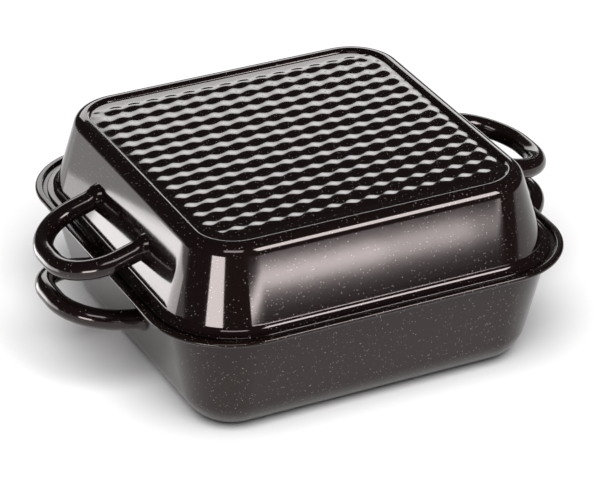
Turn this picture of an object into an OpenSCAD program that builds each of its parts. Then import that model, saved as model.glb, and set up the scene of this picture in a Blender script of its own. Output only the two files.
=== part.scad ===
// Square enamelled roasting pan with a lid that serves as a shallow grill pan.
// Both are pressed from one sheet each and carry two welded tube handles.
// Origin: centre of the pan's base, on the surface it stands on.
// X runs through the handles, Z points up. All sizes are in millimetres.

/* [Sheet] */
// Thickness of the enamelled sheet
sheet_t = 1.6; // [1:0.1:2.4]

/* [Pan] */
// Outer width of the pan over its rim, the same both ways
rim_w = 300; // [280:1:340]
// Height of the pan from its base to the top of its rim
pan_h = 86; // [60:1:120]
// Corner radius of the rim, seen from above
rim_corner_r = 59; // [50:1:66]
// Width between the middles of opposite walls, at the level of the lid's seat
mouth_w = 279; // [272:1:280]
// Lean of the pan's walls from the vertical, in degrees
pan_draft = 13.5; // [8:0.5:16]
// Outer radius between the base and the walls
pan_bottom_r = 30; // [16:1:34]
// Height of the step that lifts the middle of the base off the hob
base_step = 1; // [0.4:0.1:2]
// Width of the lifted middle of the base
base_step_w = 172; // [120:1:176]
// Corner radius of the lifted middle of the base
base_step_r = 22; // [10:1:40]

/* [Rim] */
// Depth of the lid's seat below the top of the rim
seat_depth = 2; // [1.2:0.1:3]
// Radius of the sheet's middle where the wall turns out into the seat
seat_bend_r = 2; // [1.2:0.1:2.4]
// Free space between the lid's edge and the foot of the rim's inner step
lid_clearance = 0.6; // [0.3:0.1:1]
// Width of the slope between the seat and the top of the rim
seat_step_w = 1.1; // [1:0.1:1.2]
// Radius of the rolled outer edge
bead_r = 1.8; // [1.4:0.1:1.8]

/* [Lid] */
// Outer width of the lid over its flange, the same both ways
lid_w = 286.4; // [285:0.2:287]
// Height of the lid from the underside of its flange to its top
lid_h = 56.5; // [40:0.5:80]
// Corner radius of the lid's flange, seen from above
lid_corner_r = 57; // [52:1:62]
// Width between the middles of opposite lid walls, at the level of the flange
lid_wall_w = 273; // [268:0.5:273.5]
// Lean of the lid's walls from the vertical, in degrees
lid_draft = 16; // [12:0.5:17]
// Outer radius between the lid's wall and its top
lid_top_r = 9.4; // [6:0.1:9.6]
// Radius of the hollow between the lid's wall and its flange
lid_foot_r = 5; // [2:0.5:5]

/* [Embossed top] */
// Depth of the sunk field in the lid's top
field_depth = 2.2; // [1.5:0.1:3]
// Width of the sunk field, between the feet of its edges
field_w = 222.6; // [222:0.2:223]
// Distance from one bump to the next
bump_pitch = 13.9; // [13.6:0.1:14]
// Number of bumps from left to right
bump_columns = 16; // [8:1:16]
// Number of bumps from front to back
bump_rows = 15; // [7:1:16]
// Width of a bump at its foot, from corner to corner
bump_d = 13; // [8:0.5:13]
// Width of a bump at its top
bump_top_d = 6.5; // [3:0.5:8]
// Height of a bump
bump_h = 1.5; // [0.8:0.1:1.8]

/* [Handles] */
// Outer diameter of the handle tube
tube_d = 14; // [10:0.5:16]
// Wall of the handle tube
tube_wall = 1.5; // [1:0.1:2.5]
// Distance between the middles of a handle's two arms
arm_spacing = 78; // [70:1:90]
// Radius of the tube's middle at the two bends of a handle
bend_r = 34; // [20:1:35]
// Width of the flared end of an arm, where it is welded on
arm_foot_d = 17; // [16.5:0.5:20]
// Length of the flare at the end of an arm
arm_foot_l = 5; // [3:0.5:8]
// Reach of a pan handle from the wall to the middle of its grip
pan_handle_reach = 48; // [40:1:60]
// Height of the pan handles' arms where they meet the wall
pan_handle_z = 54.5; // [45:0.5:60]
// Slope of the pan handles, rising outwards, in degrees
pan_handle_tilt = 11; // [0:1:14]
// Reach of a lid handle from the wall to the middle of its grip
lid_handle_reach = 52; // [40:1:60]
// Height of the lid handles' arms above the underside of the lid's flange
lid_handle_rise = 23.5; // [22:0.5:28]
// Slope of the lid handles, falling outwards, in degrees
lid_handle_tilt = 16.5; // [8:0.5:18]

/* [Hidden] */
$fn = 96;

half_t = sheet_t / 2;
seat_z = pan_h - seat_depth;
lid_top_z = seat_z + lid_h;
field_z = lid_top_z - field_depth;
step_bend_r = 0.9;
step_in = lid_w / 2 + lid_clearance;
crest_bend_r = 1.2;
// Least flat that is left inside the innermost bend of a corner
least_flat = 0.5;
foot_x = mouth_w / 2 - (seat_z - sheet_t) * tan(pan_draft);
// Where the flats of the base and of the field end and their first bends begin
base_x = foot_x - (pan_bottom_r - half_t) * tan((90 - pan_draft) / 2);
field_x = field_w / 2 - crest_bend_r * tan(45 / 2);
// Middles of the corner curves, the same distance from the centre along X and Y; a corner's radius
// is limited by the innermost bend that has to go round it
pan_c = min(rim_w / 2 - rim_corner_r, base_x - least_flat);
lid_c = min(lid_w / 2 - lid_corner_r, field_x - least_flat);
// The sheets' middle lines, as [distance outwards from the corners' middles, height] and a bend radius
pan_line = [
    [[0, half_t], 0],
    [[foot_x - pan_c, half_t], pan_bottom_r - half_t],
    [[mouth_w / 2 - pan_c, seat_z - half_t], seat_bend_r],
    [[step_in + half_t - pan_c, seat_z - half_t], step_bend_r],
    [[step_in + half_t + seat_step_w - pan_c, pan_h - half_t], step_bend_r],
    [[rim_w / 2 - bead_r - pan_c, pan_h - half_t], 0]
];
lid_line = [
    [[0, field_z - half_t], 0],
    [[field_w / 2 - lid_c, field_z - half_t], crest_bend_r],
    [[field_w / 2 + field_depth - lid_c, lid_top_z - half_t], crest_bend_r],
    [[lid_wall_w / 2 - (lid_h - sheet_t) * tan(lid_draft) - lid_c, lid_top_z - half_t], lid_top_r - half_t],
    [[lid_wall_w / 2 - lid_c, seat_z + half_t], lid_foot_r + half_t],
    [[lid_w / 2 - half_t - lid_c, seat_z + half_t], 0]
];
bump_r = bump_d / 2;
// How far the hollows are cut below the sheet, so that they open cleanly
hollow_run = 0.1;
// Largest angle between two flats of a bend
bend_step = 10;
// How far a cut runs past the solid it cuts
past = 1;
// Radius of the sunk field's corners, at the foot of its edge
field_corner_r = field_w / 2 - lid_c;
// Distance from the centre to the outside of a wall at height z
function pan_wall_x(z) = mouth_w / 2 + half_t / cos(pan_draft) + (z - seat_z + half_t) * tan(pan_draft);
function lid_wall_x(z) = lid_wall_w / 2 + half_t / cos(lid_draft) - (z - seat_z - half_t) * tan(lid_draft);
lid_handle_z = seat_z + lid_handle_rise;

// Directions and bends of a line of points
function along(a, b) = (b - a) / norm(b - a);
function heading(d) = atan2(d[1], d[0]);
function left_of(d) = [-d[1], d[0]];
function turned(v, a) = [v[0] * cos(a) - v[1] * sin(a), v[0] * sin(a) + v[1] * cos(a)];
function reversed(list) = [for (i = [len(list) - 1 : -1 : 0]) list[i]];
// Points of a bend on the face that lies s to the left of the middle line
function bend(line, i, s) =
    let (d = along(line[i - 1][0], line[i][0]), r = line[i][1],
        by = heading(along(line[i][0], line[i + 1][0])) - heading(d), side = sign(by),
        middle = line[i][0] - r * tan(abs(by) / 2) * d + side * r * left_of(d),
        steps = ceil(abs(by) * (r > 5 ? 1 : 0.6) / bend_step))
    [for (k = [0 : steps]) middle - turned((side * r - s) * left_of(d), by * k / steps)];
function face(line, s) = concat(
    [line[0][0] + s * left_of(along(line[0][0], line[1][0]))],
    [for (i = [1 : len(line) - 2]) each bend(line, i, s)]);
// Points of the sheet's round edge, from its upper face round to its lower face
function edge(line, r) =
    let (n = len(line) - 1, middle = line[n][0] + [0, half_t - r], last = -180 - asin((r - sheet_t) / r),
        steps = ceil((90 - last) / 30))
    [for (k = [0 : steps]) middle + r * [cos(90 + (last - 90) * k / steps), sin(90 + (last - 90) * k / steps)]];

// Section of a sheet that follows a line of points, as one outline
module sheet_section(line, edge_r) {
    polygon(concat(face(line, half_t), edge(line, edge_r), reversed(face(line, -half_t))));
}

// Carries a section round a square with rounded corners; it is drawn from the corners' middles
module around(c) {
    for (a = [0 : 90 : 270]) rotate(a) {
        translate([c, c, 0]) rotate([90, 0, 0]) linear_extrude(2 * c) children();
        translate([c, c, 0]) rotate_extrude(angle = 90) children();
    }
}

module flat_square(w, z) {
    translate([-w / 2, -w / 2, z]) cube([w, w, sheet_t]);
}

module rounded_square(w, r, h) {
    linear_extrude(h) union() {
        square([w, w - 2 * r], center = true);
        square([w - 2 * r, w], center = true);
        for (x = [-1, 1], y = [-1, 1]) translate([x, y] * (w / 2 - r)) circle(r);
    }
}

// Deep pan: base, walls, seat for the lid, rim and rolled edge in one pressed sheet
module pan() {
    color([0.10, 0.095, 0.095]) difference() {
        union() {
            around(pan_c) sheet_section(pan_line, bead_r);
            flat_square(2 * pan_c, 0);
            rounded_square(base_step_w, base_step_r, sheet_t + base_step);
        }
        translate([0, 0, -past])
            rounded_square(base_step_w - 2 * sheet_t, base_step_r - sheet_t, base_step + past);
    }
}

// A bump is kept where its whole foot lies in the field, which has rounded corners
function in_field(p) =
    let (q = [abs(p[0]) - lid_c, abs(p[1]) - lid_c])
    norm([max(q[0], 0), max(q[1], 0)]) + bump_r <= field_corner_r;

module at_bumps(z) {
    for (i = [0 : bump_columns - 1], j = [0 : bump_rows - 1]) {
        p = [i - (bump_columns - 1) / 2, j - (bump_rows - 1) / 2] * bump_pitch;
        if (in_field(p)) translate([p[0], p[1], z]) children();
    }
}

// One bump, six-sided to stay light, or the hollow under it when it goes deeper
module bump(deeper = 0) {
    slope = (bump_d - bump_top_d) / 2 / bump_h;
    translate([0, 0, -deeper]) cylinder(h = bump_h + deeper, r1 = bump_d / 2 + deeper * slope,
        r2 = bump_top_d / 2, $fn = 6);
}

// Lid: sunk and embossed top, walls and flange in one pressed sheet
module lid() {
    color([0.06, 0.06, 0.065]) difference() {
        union() {
            around(lid_c) sheet_section(lid_line, half_t);
            flat_square(2 * lid_c, field_z - sheet_t);
            at_bumps(field_z) bump();
        }
        at_bumps(field_z - sheet_t) bump(hollow_run);
    }
}

// Loop of round bar that lies flat, with its arms starting at x = -sink
module loop(d, reach, sink) {
    bend_x = reach - bend_r;
    bend_y = arm_spacing / 2 - bend_r;
    for (side = [-1, 1]) {
        translate([-sink, side * arm_spacing / 2, 0]) rotate([0, 90, 0]) cylinder(d = d, h = bend_x + sink);
        translate([bend_x, side * bend_y, 0]) rotate(side > 0 ? 0 : -90)
            rotate_extrude(angle = 90) translate([bend_r, 0]) circle(d = d);
    }
    translate([reach, -bend_y, 0]) rotate([-90, 0, 0]) cylinder(d = d, h = 2 * bend_y);
}

// Tube handle seen from the wall: reach outwards along X, tilt upwards, cut flush with a leaning wall
module handle(reach, tilt, wall_lean) {
    sink = arm_foot_d / 2;
    difference() {
        rotate([0, -tilt, 0]) difference() {
            union() {
                loop(tube_d, reach, sink);
                for (side = [-1, 1]) translate([-sink, side * arm_spacing / 2, 0]) rotate([0, 90, 0]) {
                    cylinder(d = arm_foot_d, h = sink);
                    translate([0, 0, sink]) cylinder(d1 = arm_foot_d, d2 = tube_d, h = arm_foot_l);
                }
            }
            loop(tube_d - 2 * tube_wall, reach, sink + past);
        }
        rotate([0, wall_lean, 0]) translate([-4 * sink, -arm_spacing, -2 * sink])
            cube([4 * sink, 2 * arm_spacing, 4 * sink]);
    }
}

module pan_handle() {
    color([0.07, 0.07, 0.075]) translate([pan_wall_x(pan_handle_z), 0, pan_handle_z])
        handle(pan_handle_reach, pan_handle_tilt, pan_draft);
}

module lid_handle() {
    color([0.07, 0.07, 0.075]) translate([lid_wall_x(lid_handle_z), 0, lid_handle_z])
        handle(lid_handle_reach, -lid_handle_tilt, -lid_draft);
}

pan();
lid();
mirror([1, 0, 0]) pan_handle();  // pan_handle_left
pan_handle();  // pan_handle_right
mirror([1, 0, 0]) lid_handle();  // lid_handle_left
lid_handle();  // lid_handle_right
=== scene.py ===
import math

import bmesh
import bpy
from mathutils import Matrix, Vector


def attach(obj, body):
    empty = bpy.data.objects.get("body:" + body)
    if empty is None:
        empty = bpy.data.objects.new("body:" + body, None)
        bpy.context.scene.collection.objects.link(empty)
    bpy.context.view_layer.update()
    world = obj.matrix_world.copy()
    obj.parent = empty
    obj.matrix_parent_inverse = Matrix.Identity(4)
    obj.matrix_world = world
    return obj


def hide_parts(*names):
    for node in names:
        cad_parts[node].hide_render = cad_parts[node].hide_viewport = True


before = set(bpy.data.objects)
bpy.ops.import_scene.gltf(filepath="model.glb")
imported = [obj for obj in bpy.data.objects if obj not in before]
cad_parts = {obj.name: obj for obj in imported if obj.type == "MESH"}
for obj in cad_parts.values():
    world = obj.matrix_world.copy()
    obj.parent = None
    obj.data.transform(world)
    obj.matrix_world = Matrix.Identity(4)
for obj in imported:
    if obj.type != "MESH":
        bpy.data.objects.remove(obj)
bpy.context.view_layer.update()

# Pan
# The deep pan is pressed from one sheet of steel, with rounded corners, a seat for the lid, a flat
# rim with a rolled edge and a base whose middle is pressed up a little. Black glass enamel is fired
# onto it inside and out, with fine pale grains in the glass.

SHEET = 0.0016
HALF = SHEET / 2
# Widths are half widths, and PAN_C is how far a round corner's middle is from the pan's
PAN_H = 0.086
RIM_W = 0.150
MOUTH_W = 0.1395
PAN_C = 0.091
PAN_DRAFT = math.radians(13.5)
PAN_BEAD = 0.0018
LINE_START = PAN_C + 0.0005
BASE_BEND = 0.030
SEAT_Z = PAN_H - 0.002
SEAT_BEND = 0.002
LID_W = 0.1432
LID_PLAY = 0.0006
STEP_W = LID_W + LID_PLAY + HALF
STEP_RUN = 0.0011
STEP_BEND = 0.0009
# The middle of the sheet from base to rim: half width and height, and the radius of the bend there
PAN_LINE = [
    ((LINE_START, HALF), 0),
    ((MOUTH_W - (SEAT_Z - SHEET) * math.tan(PAN_DRAFT), HALF), BASE_BEND - HALF),
    ((MOUTH_W, SEAT_Z - HALF), SEAT_BEND),
    ((STEP_W, SEAT_Z - HALF), STEP_BEND),
    ((STEP_W + STEP_RUN, PAN_H - HALF), STEP_BEND),
    ((RIM_W - PAN_BEAD, PAN_H - HALF), 0),
]
PAN_TURN = 4
PAN_EDGE_STEPS = 14

# Rings beside each bend hold its shading, and a short run between two bends needs only one
HOLD_BEFORE = 0.001
HOLD_AFTER = 0.0006
HOLD_SHARE = 0.4
LONG_RUN = 0.01
FEWEST_STEPS = 3


def sheet_face(line, side, turn):
    """Points of one face of the sheet, side to the left of its middle, turn degrees apart in bends."""
    first, after = Vector(line[0][0]), Vector(line[1][0])
    along = (after - first).normalized()
    points = [first + side * Vector((-along.y, along.x))]
    for i in range(1, len(line) - 1):
        before, here, after = (Vector(line[k][0]) for k in (i - 1, i, i + 1))
        radius = line[i][1]
        come, go = (here - before).normalized(), (after - here).normalized()
        by = math.atan2(come.x * go.y - come.y * go.x, come.dot(go))
        left = Vector((-come.y, come.x))
        hand = 1 if by > 0 else -1
        back = radius * math.tan(abs(by) / 2)
        middle = here - come * back + hand * radius * left
        hold = min(HOLD_BEFORE, HOLD_SHARE * ((here - before).length - back))
        points.append(here - come * (back + hold) + side * left)
        steps = max(FEWEST_STEPS, math.ceil(math.degrees(abs(by)) / turn))
        for k in range(steps + 1):
            arm = left.copy()
            arm.rotate(Matrix.Rotation(by * k / steps, 2))
            points.append(middle - (hand * radius - side) * arm)
        if i == len(line) - 2 or (after - here).length > LONG_RUN:
            points.append(here + go * (back + HOLD_AFTER) + side * Vector((-go.y, go.x)))
    return points


def sheet_edge(line, radius, steps):
    """Points round the sheet's edge, from its upper face to its lower one."""
    end = Vector(line[-1][0]) + Vector((0, HALF - radius))
    last = -math.pi - math.asin((radius - SHEET) / radius)
    turns = [math.pi / 2 + (last - math.pi / 2) * k / steps for k in range(steps + 1)]
    return [end + radius * Vector((math.cos(t), math.sin(t))) for t in turns]


def start_ring(name, corner, w, z, per_corner):
    """A ring of points on a rounded square, from which the sheet's section is carried."""
    bpy.ops.object.select_all(action="DESELECT")
    bpy.ops.mesh.primitive_circle_add(vertices=4 * (per_corner + 1), radius=w)
    piece = bpy.context.object
    piece.name = piece.data.name = name
    bpy.ops.object.mode_set(mode="EDIT")
    mesh = bmesh.from_edit_mesh(piece.data)
    mesh.verts.ensure_lookup_table()
    for k, v in enumerate(mesh.verts):
        quarter, step = divmod(k, per_corner + 1)
        turn = math.radians(90 * quarter + 90 * step / per_corner)
        middle = Vector((1, 1)) * corner
        middle.rotate(Matrix.Rotation(math.radians(90 * quarter), 2))
        v.co = (middle.x + (w - corner) * math.cos(turn), middle.y + (w - corner) * math.sin(turn), z)
    bmesh.update_edit_mesh(piece.data)
    bpy.ops.mesh.select_all(action="SELECT")
    return piece


def place_ring(piece, corner, new_corner, w, z):
    """Moves the selected ring to the rounded square of half width w at height z, with new corners."""
    mesh = bmesh.from_edit_mesh(piece.data)
    for v in mesh.verts:
        if v.select:
            middle = Vector((max(-corner, min(corner, v.co.x)), max(-corner, min(corner, v.co.y))))
            out = (v.co.xy - middle).normalized()
            middle = middle * (new_corner / corner)
            v.co = (*(middle + out * (w - new_corner)), z)
    bmesh.update_edit_mesh(piece.data)


def carry_round(piece, corner, section):
    """Extrudes the selected ring from point to point of the section, right round the piece."""
    for w, z in section:
        bpy.ops.mesh.extrude_region_move()
        place_ring(piece, corner, corner, w, z)


def close_and_smooth(piece, angle):
    """Closes the open ends, turns the faces outwards and smooths all but edges sharper than angle."""
    bpy.ops.mesh.select_all(action="SELECT")
    bpy.ops.mesh.remove_doubles(threshold=0.00001)
    bpy.ops.mesh.fill_holes(sides=0)
    bpy.ops.mesh.normals_make_consistent(inside=False)
    bpy.ops.object.mode_set(mode="OBJECT")
    bpy.ops.object.shade_smooth_by_angle(angle=math.radians(angle))


# The base's middle is lifted, and eases down to the flat ring that the pan stands on
LIFT = 0.001
LIFT_C = 0.064
LIFTED_W = 0.082
SLOPE_BELOW_W = 0.0824
SLOPE_ABOVE_W = 0.0866
SLOPE_STEP = 0.0008
SLOPE = (0, 0.15, 0.5, 0.85, 1)
below = [(SLOPE_BELOW_W + SLOPE_STEP * k, LIFT * (1 - part)) for k, part in enumerate(SLOPE)]
above = [(SLOPE_ABOVE_W - SLOPE_STEP * k, SHEET + LIFT * part) for k, part in enumerate(SLOPE)]
FLAT_W = PAN_C + 0.002
WALL_FROM = PAN_C + 0.003
PER_CORNER = 20

# From beneath the base, up the outside, round the rolled edge and down the inside
pan = start_ring("pan_enamelled", LIFT_C, LIFTED_W, LIFT, PER_CORNER)
carry_round(pan, LIFT_C, below)
bpy.ops.mesh.extrude_region_move()
place_ring(pan, LIFT_C, PAN_C, FLAT_W, 0)
outer = sheet_face(PAN_LINE, -HALF, PAN_TURN)
carry_round(pan, PAN_C, [p for p in outer if p.x > WALL_FROM])
carry_round(pan, PAN_C, reversed(sheet_edge(PAN_LINE, PAN_BEAD, PAN_EDGE_STEPS)))
inner = sheet_face(PAN_LINE, HALF, PAN_TURN)
carry_round(pan, PAN_C, [p for p in reversed(inner) if p.x > WALL_FROM])
carry_round(pan, PAN_C, [(FLAT_W, SHEET)])
bpy.ops.mesh.extrude_region_move()
place_ring(pan, PAN_C, LIFT_C, *above[0])
carry_round(pan, LIFT_C, above[1:])
close_and_smooth(pan, 40)


def enamel_specks():
    """Grains of their own sizes scattered through the glass, and the slow swell of its surface."""
    group = bpy.data.node_groups.new("enamel_specks", "ShaderNodeTree")
    sockets = group.interface
    for label, start in (("Grain Scale", 1100.0), ("Grain Size", 0.32), ("Grain Share", 0.3),
                         ("Wave Scale", 60.0)):
        sockets.new_socket(label, in_out="INPUT", socket_type="NodeSocketFloat").default_value = start
    for label in ("Ground", "Grain"):
        sockets.new_socket(label, in_out="INPUT", socket_type="NodeSocketColor")
    sockets.new_socket("Color", in_out="OUTPUT", socket_type="NodeSocketColor")
    sockets.new_socket("Height", in_out="OUTPUT", socket_type="NodeSocketFloat")
    nodes, links = group.nodes, group.links
    inside, outside = nodes.new("NodeGroupInput"), nodes.new("NodeGroupOutput")
    place = nodes.new("ShaderNodeTexCoord")
    cells = nodes.new("ShaderNodeTexVoronoi")
    links.new(place.outputs["Object"], cells.inputs["Vector"])
    links.new(inside.outputs["Grain Scale"], cells.inputs["Scale"])
    split = nodes.new("ShaderNodeSeparateColor")
    links.new(cells.outputs["Color"], split.inputs["Color"])

    def worked_out(operation, first, second):
        node = nodes.new("ShaderNodeMath")
        node.operation = operation
        links.new(first, node.inputs[0])
        links.new(second, node.inputs[1])
        return node.outputs["Value"]

    # Only some cells hold a grain, and each grain has its own size
    chosen = worked_out("LESS_THAN", split.outputs["Red"], inside.outputs["Grain Share"])
    size = worked_out("MULTIPLY", split.outputs["Green"], inside.outputs["Grain Size"])
    near = worked_out("LESS_THAN", cells.outputs["Distance"], size)
    speck = worked_out("MULTIPLY", near, chosen)
    # Sockets 0, 6 and 7 of a colour mix are its factor and its two colours, and 2 is its result
    colour = nodes.new("ShaderNodeMix")
    colour.data_type = "RGBA"
    links.new(speck, colour.inputs[0])
    links.new(inside.outputs["Ground"], colour.inputs[6])
    links.new(inside.outputs["Grain"], colour.inputs[7])
    links.new(colour.outputs[2], outside.inputs["Color"])
    wave = nodes.new("ShaderNodeTexNoise")
    wave.inputs["Detail"].default_value = 2.0
    links.new(place.outputs["Object"], wave.inputs["Vector"])
    links.new(inside.outputs["Wave Scale"], wave.inputs["Scale"])
    links.new(wave.outputs["Fac"], outside.inputs["Height"])
    return group


specks = enamel_specks()
WARM_SHINE = (1, 0.88, 0.87, 1)


def enamel(name, ground, grain, share, roughness, ior, wave_height):
    """Black glass on steel, with grains in a share of its cells and a surface never quite level."""
    material = bpy.data.materials.new(name)
    material.use_nodes = True
    nodes, links = material.node_tree.nodes, material.node_tree.links
    glass = nodes["Principled BSDF"]
    glass.inputs["Roughness"].default_value = roughness
    glass.inputs["IOR"].default_value = ior
    glass.inputs["Specular Tint"].default_value = WARM_SHINE
    grains = nodes.new("ShaderNodeGroup")
    grains.node_tree = specks
    grains.inputs["Ground"].default_value = (*ground, 1)
    grains.inputs["Grain"].default_value = (*grain, 1)
    grains.inputs["Grain Share"].default_value = share
    links.new(grains.outputs["Color"], glass.inputs["Base Color"])
    bump = nodes.new("ShaderNodeBump")
    bump.inputs["Strength"].default_value = 1.0
    bump.inputs["Distance"].default_value = wave_height
    links.new(grains.outputs["Height"], bump.inputs["Height"])
    links.new(bump.outputs["Normal"], glass.inputs["Normal"])
    return material


pan.data.materials.append(enamel("pan_enamel", ground=(0.007, 0.0035, 0.003), grain=(0.34, 0.31, 0.29),
                                 share=0.22, roughness=0.15, ior=1.42, wave_height=0.00002))
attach(pan, "root")
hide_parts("pan")

# Lid
# The lid is a shallow pan turned over, pressed from one sheet of steel: a flange that rests in the
# pan's seat, leaning walls, and a sunk field with crossing rows of round swells pressed up from
# below. Its enamel is the pan's black glass, fired smoother.

LID_H = 0.0565
LID_TOP = SEAT_Z + LID_H
LID_C = LID_W - 0.057
LID_WALL_W = 0.1365
LID_DRAFT = math.radians(16)
FIELD_W = 0.1113
FIELD_Z = LID_TOP - 0.0022
FIELD_RUN = 0.0022
FIELD_BEND = 0.0014
CREST_BEND = 0.0094
FLANGE_BEND = 0.005
LID_LINE = [
    ((LID_C, FIELD_Z - HALF), 0),
    ((FIELD_W, FIELD_Z - HALF), FIELD_BEND),
    ((FIELD_W + FIELD_RUN, LID_TOP - HALF), FIELD_BEND),
    ((LID_WALL_W - (LID_H - SHEET) * math.tan(LID_DRAFT), LID_TOP - HALF), CREST_BEND - HALF),
    ((LID_WALL_W, SEAT_Z + HALF), FLANGE_BEND + HALF),
    ((LID_W - HALF, SEAT_Z + HALF), 0),
]
LID_TURN = 8
LID_EDGE_STEPS = 6

# The swells that run from front to back are SIDEWAYS times as high as those that run across
PITCH = 0.0139
COLUMNS, ROWS = 16, 15
PER_PITCH = 8
SWELL_H = 0.0005
SIDEWAYS = 1.3
FLAT_CORNER = 0.0085

grid_w = COLUMNS / 2 * PITCH
bpy.ops.object.select_all(action="DESELECT")
bpy.ops.mesh.primitive_grid_add(x_subdivisions=COLUMNS * PER_PITCH, y_subdivisions=COLUMNS * PER_PITCH,
                                size=2 * grid_w, location=(0, 0, FIELD_Z))
bpy.ops.object.transform_apply(location=True, rotation=True, scale=True)
lid = bpy.context.object
lid.name = lid.data.name = "lid_enamelled"
bpy.ops.object.mode_set(mode="EDIT")
bpy.ops.mesh.select_all(action="DESELECT")

# The grid's corners are drawn in to the round ones that the rest of the lid is carried from
mesh = bmesh.from_edit_mesh(lid.data)
for v in mesh.verts:
    out = Vector((max(abs(v.co.x) - LID_C, 0), max(abs(v.co.y) - LID_C, 0)))
    if out.x > 0 and out.y > 0:
        out *= max(out.x, out.y) / out.length
        v.co.x = math.copysign(LID_C + out.x, v.co.x)
        v.co.y = math.copysign(LID_C + out.y, v.co.y)


def wave(distance):
    """Swells a pitch apart: 1 on top of each, 0 midway between two."""
    return (1 + math.cos(2 * math.pi * distance / PITCH)) / 2


# The outermost swells run out to the flat edge of the field, and its four corners stay flat
last_x, last_y = (COLUMNS - 1) / 2 * PITCH, (ROWS - 1) / 2 * PITCH
for v in mesh.verts:
    x, y = abs(v.co.x), abs(v.co.y)
    swell = SIDEWAYS * wave(x + PITCH / 2) + wave(y)
    for beyond in (x - last_x, y - last_y):
        if beyond > 0:
            swell *= wave(beyond) if beyond < PITCH / 2 else 0
    to_corner = math.hypot(x - last_x, y - last_y)
    if to_corner < FLAT_CORNER:
        swell *= (1 - math.cos(math.pi * to_corner / FLAT_CORNER)) / 2
    v.co.z += SWELL_H * swell
bmesh.update_edit_mesh(lid.data)

# The underside of the field is its copy a sheet lower, and the section joins their edges
bpy.ops.mesh.select_all(action="SELECT")
bpy.ops.mesh.duplicate_move(TRANSFORM_OT_translate={"value": (0, 0, -SHEET)})
bpy.ops.mesh.select_all(action="DESELECT")
mesh = bmesh.from_edit_mesh(lid.data)
for e in mesh.edges:
    if e.is_boundary and all(v.co.z > FIELD_Z - HALF for v in e.verts):
        e.select = True
bmesh.update_edit_mesh(lid.data)
FIELD_CLEAR = 0.00005
section = sheet_face(LID_LINE, HALF, LID_TURN)
section += sheet_edge(LID_LINE, HALF, LID_EDGE_STEPS)
section += reversed(sheet_face(LID_LINE, -HALF, LID_TURN))
carry_round(lid, LID_C, [p for p in section if p.x > grid_w + FIELD_CLEAR])
carry_round(lid, LID_C, [(grid_w, FIELD_Z - SHEET)])
close_and_smooth(lid, 40)
lid.data.materials.append(enamel("lid_enamel", ground=(0.007, 0.0035, 0.0035), grain=(0.34, 0.31, 0.29),
                                 share=0.16, roughness=0.08, ior=1.5, wave_height=0.00001))
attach(lid, "root")
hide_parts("lid")

# Handles of the pan
# Each is one length of steel tube bent to a flat loop, with both ends flared a little and welded to
# the wall of the pan. It rises a little outwards, and is enamelled with the pan.

ARM_Y = 0.039
BEND_R = 0.034
TUBE_R = 0.007
FLARE_R = 0.0088
SUNK = 0.006
# The flare eases into the straight arm: the tube's radius, and how far on from the ring before
FLARE = ((0.0085, SUNK), (0.0079, 0.0012), (0.0075, 0.0012), (0.0072, 0.0014), (0.00705, 0.0016),
         (TUBE_R, 0.0016))
handle_enamel = enamel("handle_enamel", ground=(0.007, 0.0035, 0.0035), grain=(0.30, 0.27, 0.25),
                       share=0.10, roughness=0.12, ior=1.5, wave_height=0.00001)


def tube_handle(node, wall_x, wall_z, reach, tilt, lean, hand):
    """A handle welded on at wall_x, wall_z, where the wall leans out by lean. Hand -1 is the left."""
    bpy.ops.object.select_all(action="DESELECT")
    bpy.ops.mesh.primitive_circle_add(vertices=40, radius=FLARE_R, location=(-SUNK, -ARM_Y, 0),
                                      rotation=(0, math.pi / 2, 0))
    handle = bpy.context.object
    handle.name = handle.data.name = node + "_enamelled"
    bpy.ops.object.transform_apply(location=True, rotation=True, scale=True)
    bpy.ops.object.mode_set(mode="EDIT")
    bpy.ops.mesh.select_all(action="SELECT")
    at, radius = -SUNK, FLARE_R
    for next_radius, on in FLARE:
        bpy.ops.mesh.extrude_region_move(TRANSFORM_OT_translate={"value": (on, 0, 0)})
        bpy.ops.transform.resize(value=(1, next_radius / radius, next_radius / radius))
        at, radius = at + on, next_radius
    bend_x = reach - BEND_R
    bpy.ops.mesh.extrude_region_move(TRANSFORM_OT_translate={"value": (bend_x - at, 0, 0)})
    bpy.ops.mesh.spin(steps=18, angle=-math.pi / 2, center=(bend_x, -ARM_Y + BEND_R, 0), axis=(0, 0, 1))
    bpy.ops.mesh.extrude_region_move(TRANSFORM_OT_translate={"value": (0, ARM_Y - BEND_R, 0)})
    bpy.ops.mesh.select_all(action="SELECT")
    bpy.ops.mesh.remove_doubles(threshold=0.00001)
    bpy.ops.object.mode_set(mode="OBJECT")
    bpy.ops.object.modifier_add(type="MIRROR")
    mirror = handle.modifiers[-1]
    mirror.use_axis = (False, True, False)
    mirror.merge_threshold = 0.00002
    bpy.ops.object.modifier_apply(modifier=mirror.name)
    # Tilted to its slope, set against the wall and cut flush with it
    handle.rotation_euler = (0, -tilt, 0)
    handle.location = (wall_x, 0, wall_z)
    bpy.ops.object.transform_apply(location=True, rotation=True, scale=True)
    bpy.ops.object.mode_set(mode="EDIT")
    bpy.ops.mesh.select_all(action="SELECT")
    bpy.ops.mesh.bisect(plane_co=(wall_x, 0, wall_z), plane_no=(math.cos(lean), 0, -math.sin(lean)),
                        clear_inner=True, use_fill=True)
    close_and_smooth(handle, 50)
    if hand < 0:
        handle.scale = (-1, 1, 1)
        bpy.ops.object.transform_apply(location=True, rotation=True, scale=True)
        bpy.ops.object.mode_set(mode="EDIT")
        bpy.ops.mesh.select_all(action="SELECT")
        bpy.ops.mesh.normals_make_consistent(inside=False)
        bpy.ops.object.mode_set(mode="OBJECT")
    handle.data.materials.append(handle_enamel)
    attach(handle, "root")
    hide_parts(node)
    return handle


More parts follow.
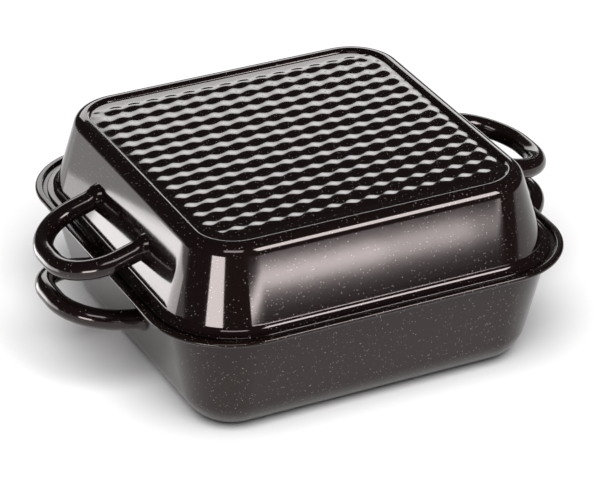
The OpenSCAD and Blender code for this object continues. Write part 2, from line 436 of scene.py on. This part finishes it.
PAN_HANDLE_Z = 0.0545
PAN_REACH = 0.048
PAN_TILT = math.radians(11)
pan_wall_x = MOUTH_W + HALF / math.cos(PAN_DRAFT) + (PAN_HANDLE_Z - SEAT_Z + HALF) * math.tan(PAN_DRAFT)
SIDES = (("left", -1), ("right", 1))
handles = []
for side, hand in SIDES:
    handles.append(tube_handle("pan_handle_" + side, pan_wall_x, PAN_HANDLE_Z, PAN_REACH, PAN_TILT,
                               PAN_DRAFT, hand))

# Handles of the lid
# Each is the same tube as the pan's, bent to a slightly longer loop and welded to the lid's wall.
# It falls outwards, so that it ends just above the pan's.

LID_HANDLE_Z = SEAT_Z + 0.0235
LID_REACH = 0.052
LID_TILT = math.radians(-16.5)
lid_wall_x = LID_WALL_W + HALF / math.cos(LID_DRAFT) - (LID_HANDLE_Z - SEAT_Z - HALF) * math.tan(LID_DRAFT)
for side, hand in SIDES:
    handles.append(tube_handle("lid_handle_" + side, lid_wall_x, LID_HANDLE_Z, LID_REACH, LID_TILT,
                               -LID_DRAFT, hand))

# Floor
# The studio's floor is a wide round of white paper. A broad light of its own keeps it white and
# gives the object's soft shadow, and beyond it the camera sees plain white.

bpy.ops.object.select_all(action="DESELECT")
bpy.ops.mesh.primitive_circle_add(vertices=96, radius=1.15, fill_type="NGON", location=(0, 0, 0))
floor = bpy.context.object
floor.name = floor.data.name = "floor"
white_paper = bpy.data.materials.new("white_paper")
white_paper.use_nodes = True
paper = white_paper.node_tree.nodes["Principled BSDF"]
paper.inputs["Base Color"].default_value = (0.96, 0.955, 0.955, 1)
paper.inputs["Roughness"].default_value = 0.9
paper.inputs["Specular IOR Level"].default_value = 0.1
floor.data.materials.append(white_paper)

lit_floor = bpy.data.collections.new("lit_floor")
lit_floor.objects.link(floor)
bpy.ops.object.light_add(type="SUN")
floor_light = bpy.context.object
floor_light.name = "floor_light"
floor_light.data.energy = 4.05
floor_light.data.angle = math.radians(50)
floor_light.rotation_euler = Vector((-0.25, -0.6, 1)).to_track_quat("Z", "Y").to_euler()
floor_light.light_linking.receiver_collection = lit_floor

world = bpy.data.worlds.new("studio")
world.use_nodes = True
bpy.context.scene.world = world
nodes, links = world.node_tree.nodes, world.node_tree.links
dim = nodes["Background"]
dim.inputs["Strength"].default_value = 0.05
dim.inputs["Color"].default_value = (1, 0.9, 0.88, 1)
seen = nodes.new("ShaderNodeBackground")
seen.inputs["Color"].default_value = (1, 1, 1, 1)
seen.inputs["Strength"].default_value = 1.0
ray = nodes.new("ShaderNodeLightPath")
either = nodes.new("ShaderNodeMixShader")
links.new(ray.outputs["Is Camera Ray"], either.inputs["Fac"])
links.new(dim.outputs["Background"], either.inputs[1])
links.new(seen.outputs["Background"], either.inputs[2])
links.new(either.outputs["Shader"], nodes["World Output"].inputs["Surface"])

# Softboxes
# White panels round the object, which the camera doesn't see, show as bright bands and spots in the
# black glass. They light the pieces alone, so the floor stays even.

lit_pieces = bpy.data.collections.new("lit_pieces")
for piece in [pan, lid, *handles]:
    lit_pieces.objects.link(piece)


def softbox(name, at, towards, wide, high, radiance):
    """A rectangular soft light at a place, turned towards a point."""
    bpy.ops.object.light_add(type="AREA", location=at)
    light = bpy.context.object
    light.name = name
    light.data.shape = "RECTANGLE"
    light.data.size = wide
    light.data.size_y = high
    light.data.energy = radiance * math.pi * wide * high
    light.visible_camera = False
    light.light_linking.receiver_collection = lit_pieces
    light.rotation_euler = (Vector(towards) - Vector(at)).to_track_quat("-Z", "Y").to_euler()


# The back one makes the spots on the lid's top, and those at the left light its left wall
softbox("back_softbox", (0.3285, 0.674, 0.368), (0.4153, -0.3224, 0.368), 0.95, 0.215, 3.7)
softbox("left_softbox", (-0.315, 0.115, 0.038), (-0.125, -0.10, 0.038), 0.22, 0.076, 4.2)
softbox("left_low_strip", (-0.300, 0.220, 0.028), (-0.125, 0.03, 0.028), 0.16, 0.056, 2.0)
softbox("left_far_strip", (-0.340, 0.300, 0.060), (-0.125, 0.06, 0.060), 0.30, 0.12, 0.45)
softbox("corner_strip", (-0.94, -0.72, 0.13), (-0.11, -0.11, 0.12), 0.46, 0.25, 16.0)
# Three bands one behind another, the narrowest in front, make one that fades to its edges
softbox("front_band_left", (0.13, -0.93, 0.118), (0.13, 0, 0.118), 0.46, 0.013, 6.0)
softbox("front_band_mid", (0.18, -0.95, 0.118), (0.18, 0, 0.118), 0.56, 0.018, 7.5)
softbox("front_band_wide", (0.32, -0.97, 0.118), (0.32, 0, 0.118), 0.84, 0.023, 6.0)
softbox("front_top_strip", (0.48, -0.83, 0.82), (0, 0, 0.12), 0.5, 0.40, 16.0)
softbox("overhead_key", (-0.45, -0.85, 1.1), (0, 0, 0.1), 0.7, 0.35, 6.0)

# Camera
# It stands 26 degrees left of the front and 29 degrees up, with a long lens. The picture is 600 by
# 484 pixels, and the middle of the pan, level with its rim, is at MIDDLE in it.

AZIMUTH, ELEVATION = math.radians(-26.04), math.radians(28.87)
DISTANCE = 2.3
PICTURE_W, PICTURE_H = 600, 484
MIDDLE = (295.28, 210.07)
FOCAL_PIXELS = 3363.0
SENSOR = 36

back = Vector((math.sin(AZIMUTH) * math.cos(ELEVATION), -math.cos(AZIMUTH) * math.cos(ELEVATION),
               math.sin(ELEVATION)))
right = Vector((math.cos(AZIMUTH), math.sin(AZIMUTH), 0))
up = back.cross(right)
aside = (MIDDLE[0] - PICTURE_W / 2) / FOCAL_PIXELS * DISTANCE
above_middle = (PICTURE_H / 2 - MIDDLE[1]) / FOCAL_PIXELS * DISTANCE
stand = back * DISTANCE - right * aside - up * above_middle + Vector((0, 0, PAN_H))
bpy.ops.object.camera_add()
camera = bpy.context.object
camera.data.lens = FOCAL_PIXELS / PICTURE_W * SENSOR
camera.data.sensor_width = SENSOR
camera.data.clip_end = 50
camera.matrix_world = Matrix.Translation(stand) @ Matrix((right, up, back)).transposed().to_4x4()
bpy.context.scene.camera = camera
bpy.context.scene.view_settings.view_transform = "Standard"
